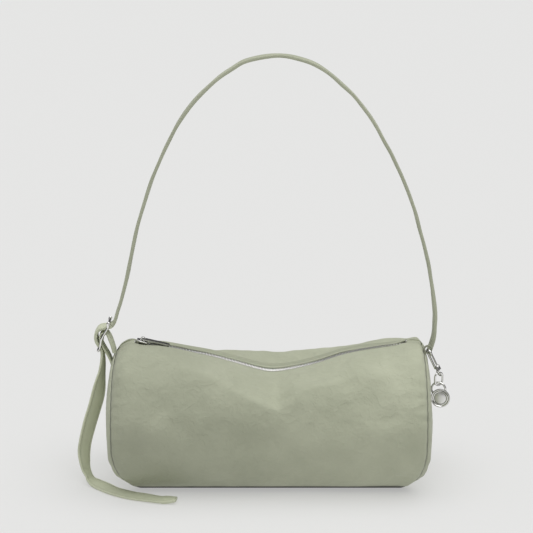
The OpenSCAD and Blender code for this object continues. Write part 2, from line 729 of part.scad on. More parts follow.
body_panel();
end_panel_left();
end_panel_right();
seam_binding_left();
seam_binding_right();
zip_tape_front();
zip_tape_back();
zip_teeth_front();
zip_teeth_back();
zip_top_stops();
zip_bottom_stop();
zip_tab_left();
zip_tab_right();
slider_body();
pull_tab();
anchor_loop();
tri_glide();
strap_wrap();
strap_base();
shoulder_strap();
strap_tail();
charm_loop();
clasp_body();
clasp_gate();
oval_link();
round_ring();
charm_disc();
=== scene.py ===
# Small barrel shoulder bag of crinkled nylon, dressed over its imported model.
import json
import math
import bmesh
import bpy
import numpy as np
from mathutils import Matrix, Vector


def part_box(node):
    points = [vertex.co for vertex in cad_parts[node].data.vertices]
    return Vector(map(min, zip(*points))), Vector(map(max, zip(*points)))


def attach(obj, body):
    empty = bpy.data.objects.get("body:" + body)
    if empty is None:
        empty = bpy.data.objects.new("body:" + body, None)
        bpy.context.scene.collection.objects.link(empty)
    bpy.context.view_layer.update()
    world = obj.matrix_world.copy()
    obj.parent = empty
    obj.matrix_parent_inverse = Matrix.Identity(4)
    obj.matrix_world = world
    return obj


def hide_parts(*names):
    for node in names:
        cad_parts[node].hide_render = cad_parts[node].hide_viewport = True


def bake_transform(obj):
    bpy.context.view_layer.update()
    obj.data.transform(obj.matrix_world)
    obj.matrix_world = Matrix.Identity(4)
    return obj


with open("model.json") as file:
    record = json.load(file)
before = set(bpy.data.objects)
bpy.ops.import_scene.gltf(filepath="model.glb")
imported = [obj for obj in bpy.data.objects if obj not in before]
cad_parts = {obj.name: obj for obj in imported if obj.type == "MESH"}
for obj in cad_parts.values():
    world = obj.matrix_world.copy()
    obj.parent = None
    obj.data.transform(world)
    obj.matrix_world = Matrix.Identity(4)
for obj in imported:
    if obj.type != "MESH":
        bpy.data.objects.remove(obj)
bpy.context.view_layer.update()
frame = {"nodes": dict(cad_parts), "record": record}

# Camera: a long lens at table height above the bag, tipped down, as the photograph was taken.
MM = 0.001
SENSOR_W, LENS, CAMERA_PLACE, CAMERA_TIP = 36.0, 115.23, (-2.3, -1500.0, 552.0), 76.8
camera = bpy.data.objects.new("camera", bpy.data.cameras.new("camera"))
camera.data.sensor_width = SENSOR_W
camera.data.lens = LENS
camera.data.clip_start = 0.05
camera.location = [v * MM for v in CAMERA_PLACE]
camera.rotation_euler = (math.radians(CAMERA_TIP), 0.0, 0.0)
bpy.context.scene.collection.objects.link(camera)
bpy.context.scene.camera = camera


# Stage: a pale seamless floor that fills the whole view, as a long paper sweep on a faint light table does.
def link_mesh(name, verts, faces, uv=None, smooth=True):
    """A mesh object at the origin from any grid of points in millimetres and its faces; uv holds one
    pair in millimetres a point, and smooth is one truth value or one for each face."""
    mesh = bpy.data.meshes.new(name)
    mesh.from_pydata((np.asarray(verts, dtype=float) * MM).reshape(-1, 3).tolist(), [],
                     faces.tolist() if isinstance(faces, np.ndarray) else faces)
    if uv is not None:
        corners = np.empty(len(mesh.loops), dtype=np.int32)
        mesh.loops.foreach_get("vertex_index", corners)
        layer = mesh.uv_layers.new(name="surface")
        layer.data.foreach_set("uv", (uv * MM).reshape(-1, 2).astype(np.float32)[corners].ravel())
    mesh.polygons.foreach_set("use_smooth", np.full(len(mesh.polygons), smooth))
    mesh.update()
    piece = bpy.data.objects.new(name, mesh)
    bpy.context.scene.collection.objects.link(piece)
    return piece


def face_outwards(mesh):
    """Turns the faces of each closed shell of the mesh to point out of it."""
    work = bmesh.new()
    work.from_mesh(mesh)
    bmesh.ops.recalc_face_normals(work, faces=work.faces)
    work.to_mesh(mesh)
    work.free()


def grid_faces(rows, cols, round_rows=False, round_cols=False):
    """Quads of a rows by cols grid of points, closed on itself in either direction if asked."""
    i, j = np.meshgrid(np.arange(rows - (not round_rows)), np.arange(cols - (not round_cols)),
                       indexing="ij")
    i2, j2 = (i + 1) % rows, (j + 1) % cols
    return np.stack([i * cols + j, i2 * cols + j, i2 * cols + j2, i * cols + j2], axis=-1).reshape(-1, 4)


def plain_material(name, color, roughness):
    """A new Principled material with its colour and roughness; returns it, its nodes, links and shader."""
    mat = bpy.data.materials.new(name)
    mat.use_nodes = True
    tree = mat.node_tree
    shader = tree.nodes["Principled BSDF"]
    shader.inputs["Base Color"].default_value = (*color, 1.0)
    shader.inputs["Roughness"].default_value = roughness
    return mat, tree.nodes, tree.links, shader


FLOOR_HALF, FLOOR_COLOR, FLOOR_GLOW = 60000.0, (0.36, 0.36, 0.357), 0.41
floor_points = np.meshgrid([-FLOOR_HALF, FLOOR_HALF], [-FLOOR_HALF, FLOOR_HALF], [0.0], indexing="ij")
floor = link_mesh("studio_floor", np.stack(floor_points, axis=-1), grid_faces(2, 2))
floor_mat, _, _, floor_shader = plain_material("pale_paper", FLOOR_COLOR, 0.9)
floor_shader.inputs["Emission Color"].default_value = (1.0, 1.0, 0.99, 1.0)
floor_shader.inputs["Emission Strength"].default_value = FLOOR_GLOW
floor_shader.inputs["Specular IOR Level"].default_value = 0.1
floor.data.materials.append(floor_mat)

# Light: a bright studio ceiling over darker walls, and one broad soft lamp high at the right.
WALL_GLOW, CEILING_GLOW = 0.05, 0.62
LAMP_SPREAD, LAMP_ENERGY, LAMP_TURN = 75.0, 1.75, (9.0, 7.0, 0.0)


def map_range(nodes, links, value, before, after, smooth=True):
    """A Map Range node that takes the pair before to the pair after, eased if smooth; returns its output."""
    node = nodes.new("ShaderNodeMapRange")
    node.interpolation_type = "SMOOTHSTEP" if smooth else "LINEAR"
    for label, number in zip(("From Min", "From Max", "To Min", "To Max"), (*before, *after)):
        node.inputs[label].default_value = number
    links.new(value, node.inputs["Value"])
    return node.outputs["Result"]


world = bpy.data.worlds.new("studio_room")
world.use_nodes = True
room_nodes, room_links = world.node_tree.nodes, world.node_tree.links
room_nodes["Background"].inputs["Color"].default_value = (1.0, 1.0, 1.0, 1.0)
aim = room_nodes.new("ShaderNodeSeparateXYZ")
room_links.new(room_nodes.new("ShaderNodeTexCoord").outputs["Generated"], aim.inputs[0])
room_links.new(map_range(room_nodes, room_links, aim.outputs["Z"], (0.12, 0.75), (WALL_GLOW, CEILING_GLOW)),
               room_nodes["Background"].inputs["Strength"])
bpy.context.scene.world = world
lamp = bpy.data.lights.new("ceiling_light", "SUN")
lamp.angle = math.radians(LAMP_SPREAD)
lamp.energy = LAMP_ENERGY
holder = bpy.data.objects.new("ceiling_light", lamp)
holder.rotation_euler = [math.radians(v) for v in LAMP_TURN]
bpy.context.scene.collection.objects.link(holder)
bpy.context.scene.view_settings.view_transform = "Standard"

# Body panel: one piece of crinkled nylon that wraps the front, the bottom and the back, with its
# two long edges folded under and sewn to the zip. It sags under the zip, with a soft fold in front.
SEAM_HALF, BAG_H, HALF_D, BOTTOM_FLAT = 139.5, 130.0, 71.0, 6.0
MID_Z, SEMI_H = (BAG_H - BOTTOM_FLAT) / 2, (BAG_H + BOTTOM_FLAT) / 2
# how far the seams are pulled in at the floor and at the top, and over which heights; the seam's groove
CURL_H, CURL_LEFT, CURL_RIGHT = 54.0, 36.0, 33.0
TOP_CURL_H, TOP_CURL_LEFT, TOP_CURL_RIGHT, GROOVE = 22.0, 4.0, 0.5, 2.6
SHELL_T = 1.2
# grid of the panel, the angle from the top at which its lips start, and its length round to a degree
ALONG, AROUND, FIRST_ANGLE, DEGREE_LENGTH = 151, 271, 4.2, 1.22
# the front's slope: where it has faded into the round section, how far it puffs out; the back lip's lead
FRONT_END, PUFF, BACK_NEARER = 84.0, 1.8, 0.9
# distance of the lips from the chain's middle, and their height over it
LIP_KNOTS = ((-150, 5.2), (-128, 5.2), (-122, 4.4), (-104, 2.7), (118, 2.7), (124, 3.6), (129, 5.2),
             (150, 5.2))
LIP_UP_KNOTS = ((-150, 1.5), (-127, 1.5), (-119, -0.8), (-98, -0.3), (-84, 0.7), (64, 0.7), (88, -0.2),
                (116, -0.6), (125, 1.5), (150, 1.5))
NYLON_COLORS = ((0.430, 0.452, 0.334), (0.490, 0.512, 0.384))


def line_through(x, knots, soft):
    """Values at x of the line through the knots (x, value), smoothed by a Gaussian of width soft."""
    knots = np.asarray(knots, dtype=float)
    fine = np.linspace(-160.0, 160.0, 1281)
    values = np.interp(fine, knots[:, 0], knots[:, 1])
    reach = np.arange(-4 * int(soft * 4), 4 * int(soft * 4) + 1)
    kernel = np.exp(-0.5 * (reach / 4 / soft) ** 2)
    padded = np.pad(values, len(reach) // 2, mode="edge")
    return np.interp(x, fine, np.convolve(padded, kernel / kernel.sum(), mode="valid"))


def ease(t):
    """Rises smoothly from 0 at t = 0 to 1 at t = 1."""
    t = np.clip(t, 0.0, 1.0)
    return t * t * (3.0 - 2.0 * t)


def smooth_rows(values, axis):
    """Averages each point with its neighbours along one axis, keeping the two ends where they are."""
    v = np.moveaxis(values, axis, 0).copy()
    v[1:-1] = 0.25 * v[:-2] + 0.5 * v[1:-1] + 0.25 * v[2:]
    return np.moveaxis(v, 0, axis)


def unit(vectors):
    """The vectors scaled to length 1."""
    return vectors / np.maximum(np.linalg.norm(vectors, axis=-1, keepdims=True), 1e-9)


def surface_normals(points):
    """Unit normals of a grid of points: the cross product of its slopes along rows and columns."""
    return unit(np.cross(np.gradient(points, axis=1), np.gradient(points, axis=0)))


# The zip line: height of the chain's middle above the floor, and how far it leans to the front
chain_heights = ((-150, 126), (-129, 128.6), (-123, 127.8), (-117, 127.4), (-108, 127.2), (-98, 126.4),
                 (-90, 124.4), (-82, 122.4), (-72, 120.2), (-54, 116.6), (-36, 111.6), (-18, 106.2),
                 (-8, 103.2), (1, 101.2), (10, 102.0), (28, 105.4), (47, 110.4), (65, 117.4), (83, 121.6),
                 (101, 124.6), (117, 126.6), (126, 128.8), (150, 126))
chain_leans = ((-150, 0), (-116, 2), (-95, 14), (-60, 24), (0, 34), (60, 24), (95, 12), (116, 2), (150, 0))
# How far the top behind the zip has sunk below the round section
back_sinks = ((-150, 1), (-128, 2.5), (-118, 6), (-104, 7.5), (-82, 8), (-64, 9.2), (-45, 10.7), (-27, 12.4),
              (-6, 12.0), (6, 13.4), (15, 13.8), (29, 11.6), (47, 10.2), (65, 8.1), (84, 6.1), (102, 2.2),
              (112, 0.2), (130, -1.0), (150, 0))
# Angle from the top at which the soft fold crosses the front
fold_angles = ((-150, 10), (-130, 13), (-107, 21.5), (-84, 33), (-61, 41), (-45, 48), (-30, 56.6), (-15, 62),
               (-6, 66), (2, 69), (8, 71.5), (13, 68), (20, 62), (27, 57.5), (40, 53), (54, 50.4), (68, 45),
               (81, 41), (107, 41), (120, 34), (130, 28), (143, 16), (150, 12))


def chain_place(x):
    """Middle of the zip chain at x, its direction, the way across it to the back, and its upward normal."""
    z = line_through(x, chain_heights, 6.5)
    lean = np.radians(line_through(x, chain_leans, 8.0))
    ahead = unit(np.stack([np.ones_like(x), np.zeros_like(x), np.gradient(z, x)], axis=-1))
    up = unit(np.cross(ahead, np.stack([np.zeros_like(x), np.cos(lean), np.sin(lean)], axis=-1)))
    return np.stack([x, np.zeros_like(x), z], axis=-1), ahead, np.cross(up, ahead), up


def round_section(angle):
    """Depth and height on the bag's round section at an angle in degrees from the top over the front."""
    return -HALF_D * np.sin(np.radians(angle)), MID_Z + SEMI_H * np.cos(np.radians(angle))


def corner_dip(inset, left):
    """How far the top corners are drawn down at a distance inset from the seam, more at the left."""
    return np.where(left, 6.0 * np.maximum(0.0, 1 - inset / 12.0) ** 2,
                    0.6 * np.maximum(0.0, 1 - inset / 5.0) ** 2)


def seam_x(z, left):
    """Distance of an end seam from the middle: pulled in near the floor along a quarter of an
    ellipse below CURL_H, and a little at the top; left is true where the left seam is meant."""
    low = 1.0 - np.sqrt(1.0 - np.clip(1.0 - (z + 3.0) / CURL_H, 0.0, 1.0) ** 2)
    high = np.maximum(0.0, (z - BAG_H + TOP_CURL_H) / TOP_CURL_H) ** 2
    return SEAM_HALF - np.where(left, CURL_LEFT * low + TOP_CURL_LEFT * high,
                                CURL_RIGHT * low ** 1.1 + TOP_CURL_RIGHT * high)


def bag_skin(u, s):
    """Points of the bag's outer face: u from -1 to 1 between the seams, s the angle in degrees from
    the top over the front. An ellipse pressed flat below, whose top is pulled down to the zip's lips in a
    straight slope as far as the fold in front and in a hollow behind, and rounded in at the seams."""
    x = u * SEAM_HALF
    y, z = round_section(s)
    edge_y, edge_z = round_section(FIRST_ANGLE)
    middle, _, across, up = chain_place(x[:, 0])
    lip, lip_up = (line_through(x[:, :1], knots, 3.0) for knots in (LIP_KNOTS, LIP_UP_KNOTS))
    lip_front = middle - lip * across + lip_up * up
    lip_back = middle + (lip - BACK_NEARER) * across + lip_up * up
    # front: the round section faded to the lip, and the straight slope down to the fold
    fold = line_through(x, fold_angles, 2.0)
    fade = 1.0 - ease((s - FIRST_ANGLE) / (FRONT_END - FIRST_ANGLE))
    y_fade = y + (lip_front[:, 1:2] - edge_y) * fade
    z_fade = z + (lip_front[:, 2:3] - edge_z) * fade
    t = np.clip((s - FIRST_ANGLE) / (fold - FIRST_ANGLE), 0.0, 1.0)
    fold_y, fold_z = round_section(fold)
    puff = PUFF * np.sin(np.pi * t)
    y_flat = np.where(s < fold, lip_front[:, 1:2] + (fold_y - lip_front[:, 1:2]) * t, y)
    z_flat = np.where(s < fold, lip_front[:, 2:3] + (fold_z - lip_front[:, 2:3]) * t + puff, z)
    share = np.exp(-(x / 125.0) ** 8)
    front_y, front_z = y_fade + (y_flat - y_fade) * share, z_fade + (z_flat - z_fade) * share
    # back: faded to the lip more slowly at the left, and sunk in a hollow behind the zip
    b = 360.0 - s
    sink = line_through(x, back_sinks, 4.0)
    near_end = 24.0 + 16.0 * ease((-x - 25.0) / 30.0)
    near = 1.0 - ease((b - FIRST_ANGLE) / (near_end - FIRST_ANGLE))
    far = ease((b - FIRST_ANGLE) / (22.0 - FIRST_ANGLE)) * (1.0 - ease((b - 24.0) / 66.0))
    back_y = y + (lip_back[:, 1:2] + edge_y) * near
    back_z = z + (lip_back[:, 2:3] - edge_z) * near - sink * far
    y, z = np.where(s <= 180.0, front_y, back_y), np.where(s <= 180.0, front_z, back_z)
    # seams: the section is drawn in over the last few millimetres, most at the top corners
    inset = (1.0 - np.abs(u)) * SEAM_HALF
    top = ease((np.cos(np.radians(s)) + 0.1) / 0.9)
    drawn = GROOVE * (1.0 - ease(inset / GROOVE)) + top * corner_dip(inset, u < 0)
    share = 1.0 - drawn / np.hypot(y, z - MID_Z)
    y, z = y * share, MID_Z + (z - MID_Z) * share
    # floor: the skin eases flat just above it, as the wall's thickness is added outside
    over = z - SHELL_T
    z = SHELL_T - 0.05 + 0.5 * (over + np.sqrt(over ** 2 + 1.2))
    return np.stack([u * seam_x(z, u < 0), y, z], axis=-1)


def crumple(points, seed, size):
    """Smooth values of about -1 to 1: a sum of sine waves in seeded directions, about size mm long."""
    rng = np.random.default_rng(seed)
    total = np.zeros(points.shape[:-1])
    for _ in range(14):
        wave = rng.normal(size=3)
        wave *= 2 * np.pi / (np.linalg.norm(wave) * size * rng.uniform(0.7, 1.6))
        total += np.sin(points @ wave + rng.uniform(0, 2 * np.pi))
    return total / 4.0


# Dents and ridges on the front: middle x and angle, half length and half width in mm, turn in degrees, height
creases = ((-116, 106, 34, 12, -34, -4.2), (-100, 88, 34, 12, -32, 2.2), (105, 76, 22, 7, 4, -1.3),
           (70, 48, 16, 8, -70, -1.2), (96, 40, 20, 8, -58, 1.2), (20, 96, 60, 12, 3, -0.9),
           (-40, 108, 50, 14, -6, 0.9), (60, 112, 40, 12, 8, -0.8), (-75, 62, 30, 10, 22, -0.9),
           (-20, 80, 30, 12, -30, 0.8), (125, 48, 10, 5, -75, -1.0), (128, 66, 14, 5, -85, 0.8))


def wrinkled(points, u, s):
    """The skin pushed in and out along its normals: a slow crumple, the named creases, and small puckers
    beside the seams; nothing moves at the lips, the seams or the floor."""
    inset = (1.0 - np.abs(u)) * SEAM_HALF
    lip_away = np.minimum(s, 360.0 - s) - 4.0
    hold = ease(inset / 14.0) * ease(lip_away / 12.0) * ease((points[..., 2] - 2.0) / 14.0)
    push = hold * sum(high * crumple(points, seed, size)
                      for high, seed, size in ((1.0, 4, 70.0), (0.6, 9, 34.0), (0.24, 23, 16.0)))
    for mid_x, mid_s, long_half, wide_half, tilt, high in creases:
        dx, ds = u * SEAM_HALF - mid_x, (mid_s - s) * DEGREE_LENGTH
        c, d = math.cos(math.radians(tilt)), math.sin(math.radians(tilt))
        along, beside = (dx * c + ds * d) / long_half, (ds * c - dx * d) / wide_half
        push += hold * high * np.exp(-along ** 2 - beside ** 2)
    pucker = 0.28 * np.sin(s * 0.62 + 2.0 * np.sin(s * 0.09)) * np.exp(-((inset - 5.0) / 5.0) ** 2)
    push += pucker * ease(points[..., 2] / 12.0)
    return points + push[..., None] * surface_normals(points)


def wall(piece, thick):
    """Gives an open skin its thickness against its faces' direction, as a Solidify modifier."""
    solid = piece.modifiers.new("wall", "SOLIDIFY")
    solid.thickness = thick * MM
    solid.offset = -1.0


t_along = np.linspace(-1, 1, ALONG)
u_grid, s_grid = np.meshgrid(0.35 * t_along + 0.65 * (1.5 * t_along - 0.5 * t_along ** 3),
                             np.linspace(FIRST_ANGLE, 360.0 - FIRST_ANGLE, AROUND), indexing="ij")
body_points = smooth_rows(smooth_rows(bag_skin(u_grid, s_grid), 1), 0)
body_points = wrinkled(body_points, u_grid, s_grid)
body = link_mesh("wrapped_body_panel", body_points, grid_faces(ALONG, AROUND),
                 np.stack([u_grid * SEAM_HALF, s_grid * DEGREE_LENGTH], axis=-1))
wall(body, SHELL_T)


def new_group(name, sockets_in, sockets_out):
    """A shader node group with float or colour sockets; returns it with its input and output nodes."""
    group = bpy.data.node_groups.new(name, "ShaderNodeTree")
    for label, kind, value in sockets_in:
        socket = group.interface.new_socket(name=label, in_out="INPUT", socket_type=kind)
        socket.default_value = value
    for label, kind in sockets_out:
        group.interface.new_socket(name=label, in_out="OUTPUT", socket_type=kind)
    return group, group.nodes.new("NodeGroupInput"), group.nodes.new("NodeGroupOutput")


def math_node(nodes, links, operation, a, b=0.5):
    """A Math node with numbers or sockets as its two inputs; returns its output."""
    node = nodes.new("ShaderNodeMath")
    node.operation = operation
    for slot, value in zip(node.inputs, (a, b)):
        if isinstance(value, bpy.types.NodeSocket):
            links.new(value, slot)
        else:
            slot.default_value = value
    return node.outputs[0]


def noise_node(nodes, links, vector, scale, detail=3.0, rough=0.5, distortion=0.0):
    """A noise texture's value at a scale in waves to the metre."""
    node = nodes.new("ShaderNodeTexNoise")
    node.inputs["Scale"].default_value = scale
    node.inputs["Detail"].default_value = detail
    node.inputs["Roughness"].default_value = rough
    node.inputs["Distortion"].default_value = distortion
    links.new(vector, node.inputs["Vector"])
    return node.outputs["Fac"]


# Crinkled nylon: crumple heights in three sizes with sharp small creases, and a slow mottle of colour
crinkle, crinkle_in, crinkle_out = new_group(
    "crinkled_cloth", (("Coarse", "NodeSocketFloat", 1.0), ("Fine", "NodeSocketFloat", 1.0)),
    (("Height", "NodeSocketFloat"), ("Mottle", "NodeSocketFloat")))
cn, cl = crinkle.nodes, crinkle.links
place = cn.new("ShaderNodeTexCoord").outputs["Object"]
slow = noise_node(cn, cl, place, 42.0, 5.0, 0.55, 0.2)
fold_noise = noise_node(cn, cl, place, 75.0, 4.0, 0.5, 0.3)
sharp = math_node(cn, cl, "ABSOLUTE", math_node(cn, cl, "SUBTRACT", fold_noise, 0.5))
sharp = math_node(cn, cl, "MULTIPLY", math_node(cn, cl, "POWER", sharp, 0.6), -0.5)
coarse = math_node(cn, cl, "MULTIPLY", math_node(cn, cl, "ADD", slow, sharp), crinkle_in.outputs["Coarse"])
grain = math_node(cn, cl, "MULTIPLY", noise_node(cn, cl, place, 420.0, 4.0, 0.6),
                  math_node(cn, cl, "MULTIPLY", crinkle_in.outputs["Fine"], 0.10))
cl.new(math_node(cn, cl, "ADD", coarse, grain), crinkle_out.inputs["Height"])
cl.new(noise_node(cn, cl, place, 16.0, 6.0, 0.62, 0.1), crinkle_out.inputs["Mottle"])


def cloth_material(name, colors, coarse_h, fine_h, rough, bump_mm):
    """Matt crinkled cloth: two colours mixed by the mottle, and the crinkle's heights as bump."""
    mat, nodes, links, shader = plain_material(name, colors[0], rough)
    cloth = nodes.new("ShaderNodeGroup")
    cloth.node_tree = crinkle
    cloth.inputs["Coarse"].default_value = coarse_h
    cloth.inputs["Fine"].default_value = fine_h
    ramp = nodes.new("ShaderNodeValToRGB")
    ramp.color_ramp.elements[0].position, ramp.color_ramp.elements[1].position = 0.36, 0.64
    ramp.color_ramp.elements[0].color = (*colors[0], 1.0)
    ramp.color_ramp.elements[1].color = (*colors[1], 1.0)
    links.new(cloth.outputs["Mottle"], ramp.inputs["Fac"])
    links.new(ramp.outputs["Color"], shader.inputs["Base Color"])
    bump = nodes.new("ShaderNodeBump")
    bump.inputs["Strength"].default_value = 1.0
    bump.inputs["Distance"].default_value = bump_mm * MM
    links.new(cloth.outputs["Height"], bump.inputs["Height"])
    links.new(bump.outputs["Normal"], shader.inputs["Normal"])
    shader.inputs["Sheen Weight"].default_value = 0.12
    shader.inputs["Sheen Roughness"].default_value = 0.6
    shader.inputs["Specular IOR Level"].default_value = 0.25
    return mat


nylon = cloth_material("crinkled_nylon", NYLON_COLORS, 1.0, 1.0, 0.72, 2.2)
panel_cloth = cloth_material("crinkled_panel_nylon", NYLON_COLORS, 1.0, 1.0, 0.72, 2.2)
# the panel carries painted shade: a little darker towards the buckle end, away from the lamp, a dark line in
# each seam's pinch, and a painted contact shadow on the underside
SIDE_SHADE_X, SIDE_SHADE_TONES = (-0.13, 0.13), (0.86, 1.03)
SEAM_SHADE_X, SEAM_SHADE_TONE = (0.1378, 0.1390), 0.42
UNDER_SHADOW_HALF, UNDER_SHADOW_TONE = (0.0405, 0.0460), 0.07
pn, pl = panel_cloth.node_tree.nodes, panel_cloth.node_tree.links
on_panel = pn.new("ShaderNodeSeparateXYZ")
pl.new(pn.new("ShaderNodeTexCoord").outputs["UV"], on_panel.inputs[0])
from_bottom = math_node(pn, pl, "SUBTRACT", on_panel.outputs["Y"], 180.0 * DEGREE_LENGTH * MM)
# painted shade: the panel darkens towards the buckle end, away from the lamp
painted_side_shade = map_range(pn, pl, on_panel.outputs["X"], SIDE_SHADE_X, SIDE_SHADE_TONES)
# painted shade: a dark line along each end seam, where the pinched seam lies in shade
seam_painted_shade = map_range(pn, pl, math_node(pn, pl, "ABSOLUTE", on_panel.outputs["X"]), SEAM_SHADE_X, (1.0, SEAM_SHADE_TONE))
# painted contact shadow: the panel's underside by the floor is darkened to nearly black
under = map_range(pn, pl, math_node(pn, pl, "ABSOLUTE", from_bottom), UNDER_SHADOW_HALF, (UNDER_SHADOW_TONE, 1.0))
toned = pn.new("ShaderNodeMix")
toned.data_type, toned.blend_type = "RGBA", "MULTIPLY"
toned.inputs["Factor"].default_value = 1.0
pl.new(next(n for n in pn if n.type == "VALTORGB").outputs["Color"], toned.inputs["A"])
pl.new(math_node(pn, pl, "MULTIPLY", painted_side_shade, math_node(pn, pl, "MULTIPLY", seam_painted_shade, under)), toned.inputs["B"])
pl.new(toned.outputs["Result"], pn["Principled BSDF"].inputs["Base Color"])
body.data.materials.append(panel_cloth)
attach(body, "bag")
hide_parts("body_panel")

# Round ends: one disc of the same nylon at each end, its edge sewn into the end seam with the
# body panel, standing a little proud and crumpled where the seam pulls at it.
END_RINGS, END_BULGE, END_PUFF, END_LOW_BULGE = 40, 5.6, 1.3, 5.5


def end_skin(side):
    """The seam's ring of points drawn in to the middle of the end, bulging as 1 - r cubed, with puckers."""
    ring = body_points[0 if side < 0 else -1]
    angle = np.radians(s_grid[0])
    r = np.linspace(1.0, 0.0, END_RINGS + 1)[:-1, None]
    y, z = ring[:, 1] * r, MID_Z + (ring[:, 2] - MID_Z) * r
    bulge = END_BULGE * (1.0 - r ** 3.0) + END_PUFF * ease((1 - r) / 0.04)
    bulge = bulge + END_LOW_BULGE * np.exp(-(z / 34.0) ** 2) * ease((1 - r) / 0.07)
    pucker = 0.5 * np.sin(angle * 21.0 + 3.0 * np.sin(angle * 2.0))
    pucker = pucker * np.exp(-((1 - r) / 0.14) ** 2) * ease((1 - r) / 0.05)
    x = side * (np.abs(ring[:, 0]) * r + seam_x(np.minimum(z, 100.0), side < 0) * (1 - r) + bulge)
    points = np.stack([x, y, z], axis=-1)
    slow = crumple(points, 31 + side, 46.0) * 0.45 * ease((1 - r) / 0.3)
    points[..., 0] += side * (slow + pucker) * ease((z - 2.0) / 14.0)
    return points


for side, word in ((-1, "left"), (1, "right")):
    hub = np.array([[side * (SEAM_HALF + END_BULGE + END_PUFF), 0.0, MID_Z]])
    last = (END_RINGS - 1) * AROUND + np.arange(AROUND)
    fan = np.stack([last, np.full(AROUND, END_RINGS * AROUND), np.roll(last, -1)], axis=-1)
    faces = grid_faces(END_RINGS, AROUND, round_cols=True).tolist() + fan.tolist()
    end = link_mesh("round_end_" + word, np.concatenate([end_skin(side).reshape(-1, 3), hub]),
                    faces if side > 0 else [f[::-1] for f in faces])
    wall(end, SHELL_T)
    end.data.materials.append(nylon)
    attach(end, "bag")
    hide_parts("end_panel_" + word)

# Seam bindings: a folded tape sewn over the raw edges of each end seam, inside the bag.
BIND_W, BIND_T, BIND_IN, BIND_OFF = 7.0, 1.8, 2.6, 0.6
binding_cloth = cloth_material("binding_tape", ((0.30, 0.32, 0.23), (0.34, 0.36, 0.26)), 0.3, 1.5, 0.8, 0.6)
# section of the folded tape: distance inwards from the seam, distance along the bag from it
bind_section = ((BIND_IN, BIND_OFF), (BIND_IN + BIND_W, BIND_OFF),
                (BIND_IN + BIND_W + 0.3, BIND_OFF + BIND_T / 2),
                (BIND_IN + BIND_W, BIND_OFF + BIND_T), (BIND_IN, BIND_OFF + BIND_T))
for end_row, next_row, word in ((0, 2, "left"), (-1, -3, "right")):
    ring = body_points[end_row]
    inwards = unit(np.array([0.0, 0.0, MID_Z]) - ring * [0.0, 1.0, 1.0])
    along = unit(body_points[next_row] - ring)
    band = np.stack([ring + inwards * a + along * b for a, b in bind_section], axis=1)
    binding = link_mesh("seam_binding_tape_" + word, band, grid_faces(AROUND, len(bind_section), True, True))
    face_outwards(binding.data)
    binding.data.materials.append(binding_cloth)
    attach(binding, "bag")
    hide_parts("seam_binding_" + word)

# Zip tapes: two woven ribbons under the panel's folded edges, which carry the metal teeth.
TAPE_IN, TAPE_OUT, TAPE_T, TAPE_END = 1.5, 8.6, 0.8, 123.0
tape_mat, tape_nodes, tape_links, tape_shader = plain_material("woven_zip_tape", (0.40, 0.42, 0.31), 0.85)
weave_uv = tape_nodes.new("ShaderNodeTexCoord").outputs["UV"]
rib = tape_nodes.new("ShaderNodeTexWave")
rib.bands_direction = "DIAGONAL"
rib.inputs["Scale"].default_value = 420.0
tape_links.new(weave_uv, rib.inputs["Vector"])
tape_tone = tape_nodes.new("ShaderNodeMix")
tape_tone.data_type = "RGBA"
tape_tone.inputs["A"].default_value = (0.34, 0.36, 0.265, 1.0)
tape_tone.inputs["B"].default_value = (0.44, 0.46, 0.345, 1.0)
tape_links.new(rib.outputs["Fac"], tape_tone.inputs["Factor"])
tape_links.new(tape_tone.outputs["Result"], tape_shader.inputs["Base Color"])
tape_bump = tape_nodes.new("ShaderNodeBump")
tape_bump.inputs["Distance"].default_value = 0.15 * MM
tape_links.new(rib.outputs["Fac"], tape_bump.inputs["Height"])
tape_links.new(tape_bump.outputs["Normal"], tape_shader.inputs["Normal"])
for side, word in ((-1, "front"), (1, "back")):
    x = np.linspace(-TAPE_END, TAPE_END, 165)
    middle, ahead, across, up = chain_place(x)
    reach = np.linspace(TAPE_IN, TAPE_OUT, 6) * side
    skin = middle[:, None] + across[:, None] * reach[None, :, None] + 0.5 * TAPE_T * up[:, None]
    faces = grid_faces(len(x), len(reach))
    tape = link_mesh("zip_tape_ribbon_" + word, skin, faces if side > 0 else faces[:, ::-1],
                     np.stack(np.broadcast_arrays(x[:, None], reach[None]), axis=-1))
    wall(tape, TAPE_T)
    tape.data.materials.append(tape_mat)
    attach(tape, "bag")
    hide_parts("zip_tape_" + word)


# Zip teeth: two rows of stamped metal teeth clenched on the tapes' edges, meeting in the middle.
def metal_material(name, color, rough, scratch):
    """Polished nickel plate: a metal darkened towards its rims seen edge-on as a painted dark reflection,
    whose roughness varies with soft scratches and handling marks.
    """
    mat, nodes, links, shader = plain_material(name, color, rough)
    shader.inputs["Metallic"].default_value = 1.0
    # painted reflection: the colour darkens to 0.16 times where the surface is seen edge-on
    facing = nodes.new("ShaderNodeLayerWeight")
    facing.inputs["Blend"].default_value = 0.42
    edge_painted_reflection = nodes.new("ShaderNodeValToRGB")
    edge_painted_reflection.color_ramp.elements[0].position, edge_painted_reflection.color_ramp.elements[1].position = 0.18, 0.78
    edge_painted_reflection.color_ramp.elements[0].color = (*color, 1.0)
    edge_painted_reflection.color_ramp.elements[1].color = (*(0.16 * c for c in color), 1.0)
    links.new(facing.outputs["Facing"], edge_painted_reflection.inputs["Fac"])
    links.new(edge_painted_reflection.outputs["Color"], shader.inputs["Base Color"])
    place = nodes.new("ShaderNodeTexCoord").outputs["Object"]
    marks = noise_node(nodes, links, place, 900.0, 5.0, 0.7, 2.0)
    spread = map_range(nodes, links, marks, (0.3, 0.7), (rough, rough + scratch), smooth=False)
    links.new(spread, shader.inputs["Roughness"])
    bump = nodes.new("ShaderNodeBump")
    bump.inputs["Distance"].default_value = 0.012 * MM
    links.new(marks, bump.inputs["Height"])
    links.new(bump.outputs["Normal"], shader.inputs["Normal"])
    return mat


